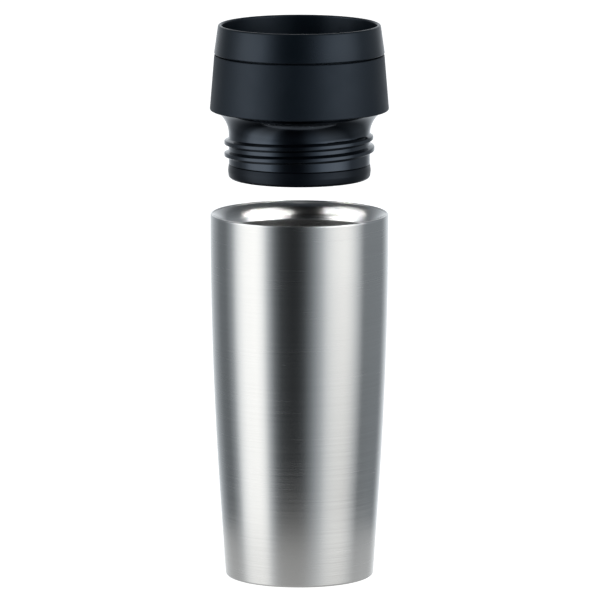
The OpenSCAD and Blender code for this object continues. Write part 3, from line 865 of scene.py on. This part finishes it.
def foot_pad():
    """The non-slip ring under the foot, with two fine grooves in its face."""
    r0, r1, z1 = high("foot_pad", 0) - 7, high("foot_pad", 0), high("foot_pad")
    cuts = [corner for at in (r0 + 2.3, r0 + 4.6) for corner in (
        (at - 0.3, 0, 0.1), (at - 0.2, 0.2, 0.05), (at + 0.2, 0.2, 0.05), (at + 0.3, 0, 0.1))]
    path = outline(line((r0, 0, 0.15), *cuts, (r1, 0, 0.3), (r1, z1), (r0, z1)))
    return turned("FootPad", path, 256)


def button_cap(q):
    """The press button: a dished top inside a raised rim, a skirt, and a boss on the stem."""
    r, top, skirt = q.button_r, q.button_top, q.button_top - 14
    under, bore = top - 2.2, q.stem_r + 0.05
    dish_r, dish_low, dish_half = 480.3, top - 0.5, 2.1
    path = outline(
        line((0, under), (bore, under), (bore, q.boss_low), (q.boss_r, q.boss_low, 0.2),
             (q.boss_r, under, 0.3), (r - 1.8, under, 0.4), (r - 1.8, skirt, 0.2), (r - 0.4, skirt, 0.2),
             (r, top, 1.3), (r - 3.6, top, 0.8), (r - 5.8, top - 0.5, 1.5)),
        arc(0, dish_low + dish_r, dish_r, -90 + dish_half, -90, 8), closed=False)
    path[np.abs(path[:, 0]) < 1e-3, 0] = 0
    return turned("ButtonCap", path, 256, lift=LID)


def valve_stem(q):
    """The stem: chamfered lower end, running part, spring collar and upper spigot."""
    r, stop_r = q.stem_r, q.boss_r - 0.6
    top = q.button_top - 2.2
    path = outline(
        line((0, q.stem_low), (r - 0.5, q.stem_low), (r, q.stem_low + 0.5), (r, q.stop_low, 0.2),
             (stop_r, q.stop_low, 0.25), (stop_r, q.stop_low + 1.8, 0.25), (r, q.stop_low + 1.8, 0.2),
             (r, top - 0.3), (r - 0.3, top), (0, top)), closed=False)
    return turned("ValveStem", path, 96, lift=LID)


def valve_disc(q):
    """The valve disc: a plate with a coned hub on its upper face and a stiffening step under it."""
    r, z, hub, boss = q.disc_r, q.disc_low, q.stem_r, VALVE_LEDGE - 0.4
    path = outline(
        line((hub + 0.05, z), (r - 6, z, 0.5), (r - 5, z + 0.4, 0.5), (r - 2.4, z + 0.4, 0.4),
             (r - 2, z, 0.3), (r, z), (r, z + q.disc_t), (hub + 5, z + q.disc_t, 0.8), (hub + 3, boss, 0.5),
             (hub + 0.05, boss)))
    return turned("ValveDisc", path, 256, lift=LID)


def valve_seal(q):
    """The valve seal: a silicone ring snapped round the disc, with a thin lip that closes on the ledge."""
    r, z, s = q.disc_r, q.disc_low, q.seal_r
    head, lip = z + q.disc_t, VALVE_LEDGE - 0.3
    path = outline(line(
        (r - 2, z - 0.9, 0.3), (s - 0.8, z - 0.9, 0.5), (s, z, 0.4), (s, head, 0.5), (s - 0.6, lip, 0.15),
        (r + 0.8, lip, 0.15), (r + 0.3, head + 0.9, 0.3), (r - 2, head + 0.9, 0.3), (r - 2, head + 0.05),
        (r + 0.05, head + 0.05), (r + 0.05, z - 0.05), (r - 2, z - 0.05)))
    return turned("ValveSeal", path, 256, lift=LID)


def stem_nut(q):
    """The nut: a hexagon whose corners are cut by a cone at each end."""
    corner, z0, bore = q.nut_r, q.disc_low - q.nut_h, q.stem_r + 0.05
    flat = corner * math.cos(math.pi / 6)
    rows = np.linspace(0.02, q.nut_h - 0.02, 25)
    path = outline(
        line((bore + 0.3, 0), (flat - 0.4, 0)), upright(corner, rows),
        line((flat - 0.4, q.nut_h), (bore + 0.3, q.nut_h), (bore, q.nut_h - 0.3), (bore, 0.3)))

    def hexagon(r, z, a):
        """On the outside, the least of the hexagon's radius and a 30 degree cone's."""
        six = flat / np.cos((a + math.pi / 6) % (math.pi / 3) - math.pi / 6)
        cone = flat - 0.1 + np.minimum(z, q.nut_h - z) / math.tan(math.radians(30))
        return np.where(r > flat, np.minimum(six, cone), r)

    return turned("StemNut", path, 240, hexagon, lift=LID + z0)


def return_spring(q):
    """The return spring, between the guide's floor and the stem's collar."""
    return coil("ReturnSpring", q.stem_r + 2, q.wire, LID + q.spring_low, LID + q.spring_top, SPRING_TURNS)


# ---------------------------------------------------------------- stage

# Brightness of the studio round the mug, by direction in degrees: 0 is towards the viewer and 90 to the
# viewer's right. Two broad soft boxes stand left and right in front, with black flags between and beside them,
# and a paler wall behind.
STUDIO = (
    (-180, 1.2), (-149, 0.55), (-127, 0.24), (-112, 0.23), (-99, 0.52), (-88, 1.37), (-77, 1.78), (-68, 1.84),
    (-59, 1.9), (-50, 1.6), (-42, 0.76), (-33, 0.23), (-25, 0.075), (-17, 0.047), (-10, 0.028), (-2, 0.032),
    (6, 0.068), (14, 0.21), (21, 0.43), (29, 0.76), (37, 1.3), (46, 1.65), (54, 1.8), (63, 1.88), (72, 1.65),
    (82, 1.1), (93, 0.37), (105, 0.34), (119, 0.33), (137, 0.31), (158, 0.85), (180, 1.2))

# How much of that is left low down, by the same directions: the right box ends higher than the left
STUDIO_LOW = (
    (-180, 1.0), (-145, 0.8), (-112, 0.65), (-88, 0.9), (-68, 0.8), (-50, 0.82), (-33, 0.66), (-17, 1.0),
    (-6, 1.5), (6, 1.45), (21, 0.9), (33, 0.62), (48, 0.45), (66, 0.3), (86, 0.27), (110, 0.66), (145, 0.75),
    (180, 1.0))

# Heights of a direction, as its upward part from -1 to 1, between which the light changes, and what is left of
# it at the far end: towards the ceiling, and towards the floor
CEILING, CEILING_SHARE = (0.12, 0.75), 0.25
GROUND, GROUND_SHARE = (-0.85, -0.45), 0.2
# Heights between which the low table takes over
LOW_RANGE = (-0.32, -0.16)


def by_direction(tree, azimuth, table):
    """Light from a table of directions, cooler where it is weaker and divided by its peak, and the peak."""
    ramp = node(tree, "ShaderNodeValToRGB", {"Fac": azimuth})
    stops = ramp.color_ramp.elements
    while len(stops) < len(table):
        stops.new(0.5)
    peak = max(value for _, value in table)
    for stop, (direction, value) in zip(stops, table):
        stop.position = (direction + 180) / 360
        share = value / peak
        cool = 0.1 * (1 - share)
        stop.color = (share * (1 - cool), share, share * (1 + cool), 1)
    return ramp.outputs[0], peak


def studio_world(strength):
    """A plain studio: brightness by direction round the mug, less overhead and below, and white in view."""
    world = bpy.data.worlds.new("studio")
    world.use_nodes = True
    tree = world.node_tree
    tree.nodes.clear()
    axes = node(tree, "ShaderNodeSeparateXYZ", {
        "Vector": node(tree, "ShaderNodeTexCoord").outputs["Generated"]}).outputs
    front = node(tree, "ShaderNodeMath", {0: axes["Y"], 1: -1.0}, operation="MULTIPLY").outputs[0]
    turned_by = node(tree, "ShaderNodeMath", {0: axes["X"], 1: front}, operation="ARCTAN2").outputs[0]
    azimuth = spread(tree, turned_by, 0, 1, -math.pi, math.pi)
    level, peak = by_direction(tree, azimuth, STUDIO)
    low_level, low_peak = by_direction(tree, azimuth, STUDIO_LOW)
    kept = node(tree, "ShaderNodeMath", {0: low_level, 1: low_peak}, operation="MULTIPLY").outputs[0]
    lowness = spread(tree, axes["Z"], 1.0, 0.0, *LOW_RANGE)
    share = node(tree, "ShaderNodeMix", {0: lowness, 2: 1.0, 3: kept}).outputs[0]
    overhead = spread(tree, axes["Z"], peak * strength, CEILING_SHARE * peak * strength, *CEILING)
    below = spread(tree, axes["Z"], GROUND_SHARE, 1.0, *GROUND)
    ends = node(tree, "ShaderNodeMath", {0: overhead, 1: below}, operation="MULTIPLY").outputs[0]
    power = node(tree, "ShaderNodeMath", {0: ends, 1: share}, operation="MULTIPLY").outputs[0]
    light = node(tree, "ShaderNodeBackground", {"Color": level, "Strength": power})
    white = node(tree, "ShaderNodeBackground", {"Color": (1, 1, 1, 1), "Strength": 1.0})
    seen = node(tree, "ShaderNodeLightPath").outputs["Is Camera Ray"]
    mixed = node(tree, "ShaderNodeMixShader", {0: seen, 1: light.outputs[0], 2: white.outputs[0]})
    node(tree, "ShaderNodeOutputWorld", {"Surface": mixed.outputs[0]})
    bpy.context.scene.world = world


def stage_disc(name, radius, height, sides=128):
    """A flat round stage piece: a ring of points (radius cos a, radius sin a, height)."""
    a = TURN * np.arange(sides) / sides
    points = np.stack([radius * np.cos(a), radius * np.sin(a), np.full(sides, height)], -1)
    disc = mesh_piece(name, points, [np.arange(sides)[None]])
    disc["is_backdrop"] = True
    return disc


def glowing(name, base, glow, cover=1.0):
    """A matte surface with some light of its own. cover under 1 lets the studio show through it."""
    material, tree, place_at = blank(name)
    fine = node(tree, "ShaderNodeTexNoise", {"Vector": place_at, "Scale": 60.0}).outputs[0]
    shader = node(tree, "ShaderNodeBsdfPrincipled", {
        "Base Color": base, "Roughness": spread(tree, fine, 0.75, 0.85), "Specular IOR Level": 0.0,
        "Emission Color": (1, 1, 1, 1), "Emission Strength": glow / cover, "Alpha": cover})
    return shaded(material, tree, shader)


# Radius of the floor, and the heights of floor and card just under the foot, in mm
FLOOR_R, FLOOR_Z, CARD_Z = 12000, -0.05, -0.02


def floor_and_card(s):
    """The pale floor, and a white card under the mug that is seen only in gloss."""
    floor = stage_disc("Floor", FLOOR_R, FLOOR_Z)
    floor.data.materials.append(glowing("studio_floor", s.floor, s.floor_glow))
    floor.visible_glossy = False
    floor.visible_diffuse = False
    card = stage_disc("FloorCard", s.card_r, CARD_Z)
    card.data.materials.append(glowing("white_card", (0, 0, 0, 1), s.card_glow, s.card_cover))
    card.visible_camera = False
    card.visible_diffuse = False
    card.visible_shadow = False


# The mouth's soft boxes: name, direction and elevation in degrees, width and height in metres at 1 m away
MOUTH_BOXES = (("BoxLeft", -84, 38, 1.3, 1.0), ("BoxRight", 57, 38, 1.5, 1.0))


def mouth_boxes(s):
    """Soft boxes, left and right, that light the mouth alone and shine past the lifted lid.

    Each is an oval 1 m away in its direction and faces the mouth. Its power is the brightness wanted times pi
    times its area.
    """
    lit, shading = bpy.data.collections.new("lit_by_boxes"), bpy.data.collections.new("shading_boxes")
    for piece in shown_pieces():
        if body_of(piece) == ["mug"]:
            shading.objects.link(piece)
    lit.objects.link(bpy.data.objects["MouthRing"])
    for name, direction, elevation, width, height in MOUTH_BOXES:
        data = bpy.data.lights.new(name, "AREA")
        data.shape, data.size, data.size_y = "ELLIPSE", width, height
        data.energy = s.box_light * math.pi * math.pi / 4 * width * height
        data.cycles.use_multiple_importance_sampling = False
        box = bpy.data.objects.new(name, data)
        a, up = math.radians(direction), math.radians(elevation)
        box.location = (
            math.sin(a) * math.cos(up), -math.cos(a) * math.cos(up), math.sin(up) + s.target_z * MM)
        box.rotation_euler = (math.pi / 2 - up, 0, a)
        bpy.context.scene.collection.objects.link(box)
        box.visible_camera = False
        box.light_linking.receiver_collection = lit
        box.light_linking.blocker_collection = shading


def camera(s):
    """The camera, looking along +Y and down by its pitch."""
    data = bpy.data.cameras.new("Camera")
    data.sensor_width = 36
    data.lens = s.lens
    data.clip_start, data.clip_end = 0.1, 100
    view = bpy.data.objects.new("Camera", data)
    view.location = (s.target_x * MM, -s.distance * MM * math.cos(s.pitch),
                     s.target_z * MM + s.distance * MM * math.sin(s.pitch))
    view.rotation_euler = (math.pi / 2 - s.pitch, 0, 0)
    bpy.context.scene.collection.objects.link(view)
    bpy.context.scene.camera = view


# ---------------------------------------------------------------- operators

class MugOperator:
    """What the mug's operators share."""
    bl_options = {"REGISTER", "UNDO"}

    def execute(self, context):
        """Builds the pieces from the scene's sizes."""
        scene = context.scene
        self.build(*(millimetres(group) for group in (
            scene.mug_vessel, scene.mug_lid, scene.mug_thread, scene.mug_valve)))
        return {"FINISHED"}


class MUG_OT_stage(bpy.types.Operator):
    """Make the camera, the floor and the studio light"""
    bl_idname = "mug.stage"
    bl_label = "Stage"
    bl_options = {"REGISTER", "UNDO"}

    def execute(self, context):
        s = millimetres(context.scene.mug_studio)
        s.floor = tuple(context.scene.mug_studio.floor)
        camera(s)
        floor_and_card(s)
        studio_world(s.strength)
        context.scene.view_settings.view_transform = "Standard"
        return {"FINISHED"}


class MUG_OT_mouth_light(bpy.types.Operator):
    """Make the soft boxes that light the mouth"""
    bl_idname = "mug.mouth_light"
    bl_label = "Mouth light"
    bl_options = {"REGISTER", "UNDO"}

    def execute(self, context):
        if "MouthRing" not in bpy.data.objects:
            raise RuntimeError("make the mouth before its light")
        mouth_boxes(millimetres(context.scene.mug_studio))
        return {"FINISHED"}


class MUG_OT_outer_shell(MugOperator, bpy.types.Operator):
    """Make the brushed outer wall"""
    bl_idname = "mug.outer_shell"
    bl_label = "Outer shell"

    def build(self, vessel, lid, thread, valve):
        place(outer_shell(vessel), "mug", "brushed_shell", "outer_shell")


class MUG_OT_mouth(MugOperator, bpy.types.Operator):
    """Make the mouth ring and the inner vessel"""
    bl_idname = "mug.mouth"
    bl_label = "Mouth and liner"

    def build(self, vessel, lid, thread, valve):
        place(mouth_ring(vessel, lid, thread), "mug", "mouth_steel", "mouth_ring")
        place(inner_liner(vessel, lid), "mug", "liner_steel", "inner_liner")


class MUG_OT_base(MugOperator, bpy.types.Operator):
    """Make the cover and the pad under the foot, and finish the vacuum base"""
    bl_idname = "mug.base"
    bl_label = "Base"

    def build(self, vessel, lid, thread, valve):
        place(base_cover(), "mug", "base_steel", "base_cover")
        place(foot_pad(), "mug", "foot_silicone", "foot_pad")
        for part, slot in (("base_plate", "base_steel"), ("getter_clip", "clip_steel"),
                           ("getter", "getter_pill"), ("sealing_bead", "seal_glass")):
            repaint(part, slot)


class MUG_OT_lid_top(MugOperator, bpy.types.Operator):
    """Make the drinking ring and the grip collar"""
    bl_idname = "mug.lid_top"
    bl_label = "Drinking ring and collar"

    def build(self, vessel, lid, thread, valve):
        place(drink_ring(lid), "lid", "lid_satin", "drink_ring")
        place(grip_collar(lid), "lid", "collar_matte", "grip_collar")


class MUG_OT_neck(MugOperator, bpy.types.Operator):
    """Make the threaded neck and its gasket"""
    bl_idname = "mug.neck"
    bl_label = "Threaded neck and gasket"

    def build(self, vessel, lid, thread, valve):
        place(threaded_neck(lid, thread), "lid", "neck_gloss", "threaded_neck")
        place(neck_gasket(lid), "gasket", "gasket_silicone", "neck_gasket")
        repaint("bowl_seal", "washer_silicone")


class MUG_OT_button(MugOperator, bpy.types.Operator):
    """Make the press button, and finish the latch inside it"""
    bl_idname = "mug.button"
    bl_label = "Button and latch"

    def build(self, vessel, lid, thread, valve):
        place(button_cap(valve), "plunger", "button_plastic", "button_cap")
        for part, slot in (("guide_spider", "guide_plastic"), ("latch_crown", "latch_plastic"),
                           ("latch_rotor", "rotor_plastic")):
            repaint(part, slot)


class MUG_OT_valve(MugOperator, bpy.types.Operator):
    """Make the stem, disc, seal, nut and return spring"""
    bl_idname = "mug.valve"
    bl_label = "Valve"

    def build(self, vessel, lid, thread, valve):
        place(valve_stem(valve), "plunger", "stem_steel", "valve_stem")
        place(valve_disc(valve), "plunger", "disc_plastic", "valve_disc")
        place(valve_seal(valve), "plunger", "valve_silicone", "valve_seal")
        place(stem_nut(valve), "plunger", "nut_steel", "stem_nut")
        spring = place(return_spring(valve), "lid", "spring_steel", "return_spring")
        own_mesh(spring)


class MUG_PT_panel(bpy.types.Panel):
    """The mug's sizes, colours and buttons"""
    bl_idname = "MUG_PT_panel"
    bl_label = "Travel mug"
    bl_space_type = "VIEW_3D"
    bl_region_type = "UI"
    bl_category = "Travel mug"

    def draw(self, context):
        for operator in OPERATORS:
            self.layout.operator(operator.bl_idname)
        for key, group in GROUPS.items():
            box = self.layout.box()
            box.label(text=group.__doc__)
            for name in group.__annotations__:
                box.prop(getattr(context.scene, key), name)


GROUPS = {
    "mug_vessel": MugVesselSizes, "mug_lid": MugLidSizes, "mug_thread": MugThreadSizes,
    "mug_valve": MugValveSizes, "mug_finishes": MugFinishes, "mug_studio": MugStudio,
}
OPERATORS = (MUG_OT_stage, MUG_OT_outer_shell, MUG_OT_mouth, MUG_OT_base, MUG_OT_lid_top, MUG_OT_neck,
             MUG_OT_button, MUG_OT_valve, MUG_OT_mouth_light)


def register():
    """Registers the add-on's classes and gives the scene its property groups."""
    for made in (*GROUPS.values(), *OPERATORS, MUG_PT_panel):
        bpy.utils.register_class(made)
    for key, group in GROUPS.items():
        setattr(bpy.types.Scene, key, bpy.props.PointerProperty(type=group))


def unregister():
    """Removes what register added."""
    for key in GROUPS:
        delattr(bpy.types.Scene, key)
    for made in (MUG_PT_panel, *reversed(OPERATORS), *reversed(GROUPS.values())):
        bpy.utils.unregister_class(made)


def main():
    """Registers the add-on and builds every piece in order."""
    register()
    for operator in OPERATORS:
        family, name = operator.bl_idname.split(".")
        getattr(getattr(bpy.ops, family), name)()


if __name__ == "__main__":
    main()
